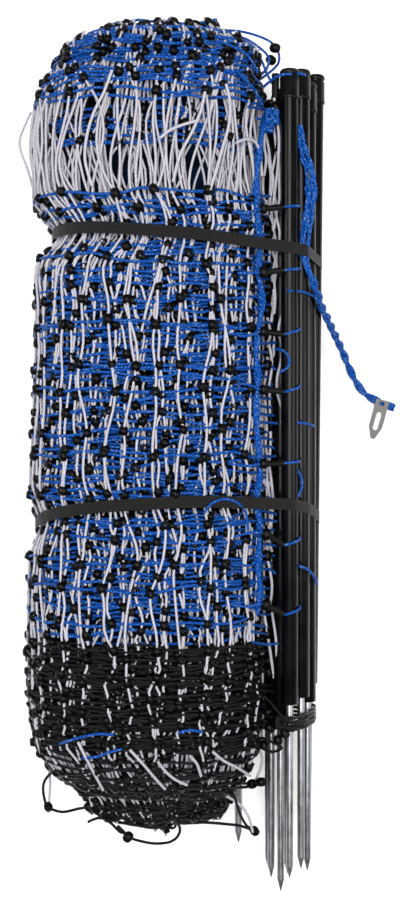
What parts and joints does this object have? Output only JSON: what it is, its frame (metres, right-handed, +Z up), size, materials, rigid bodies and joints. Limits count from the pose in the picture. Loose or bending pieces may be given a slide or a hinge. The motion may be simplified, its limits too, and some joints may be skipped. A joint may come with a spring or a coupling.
{
  "type": "otter netting",
  "caption": "Bundled electric net, folded beside its plastic posts with steel ground spikes and held by two straps, with a lead rope and connector plate.",
  "frame": {"origin": "on the floor, under the middle of the bundle's footprint without its lead rope", "axes": "+Z up, +Y along the posts towards their caps, +X from the net towards the posts"},
  "size_m": [0.4293, 0.955, 0.206],
  "materials": {
    "net": "twisted blue and black plastic strings, with white verticals",
    "post": "glossy black",
    "cap": "satin black",
    "spike": "bright galvanised",
    "strap": "woven black tape",
    "sleeve": "dull black",
    "rope": "twisted blue plastic strings",
    "plate": "matte stainless"
  },
  "bodies": {
    "root": {"netting": "net", "post_tube_a": "post", "post_cap_a": "cap", "post_spike_a": "spike", "post_tube_b": "post", "post_cap_b": "cap", "post_spike_b": "spike", "post_tube_c": "post", "post_cap_c": "cap", "post_spike_c": "spike", "post_tube_d": "post", "post_cap_d": "cap", "post_spike_d": "spike", "post_tube_e": "post", "post_cap_e": "cap", "post_spike_e": "spike", "post_tube_f": "post", "post_cap_f": "cap", "post_spike_f": "spike", "post_tube_g": "post", "post_cap_g": "cap", "post_spike_g": "spike", "post_tube_h": "post", "post_cap_h": "cap", "post_spike_h": "spike", "post_tube_i": "post", "post_cap_i": "cap", "post_spike_i": "spike", "post_tube_j": "post", "post_cap_j": "cap", "post_spike_j": "spike", "strap_upper": "strap", "strap_lower": "strap", "clip_sleeve_1": "sleeve", "clip_sleeve_2": "sleeve", "clip_sleeve_3": "sleeve", "clip_sleeve_4": "sleeve", "clip_sleeve_5": "sleeve", "clip_sleeve_6": "sleeve", "clip_sleeve_7": "sleeve", "lead_rope": "rope", "connector_plate": "plate"}
  },
  "joints": []
}
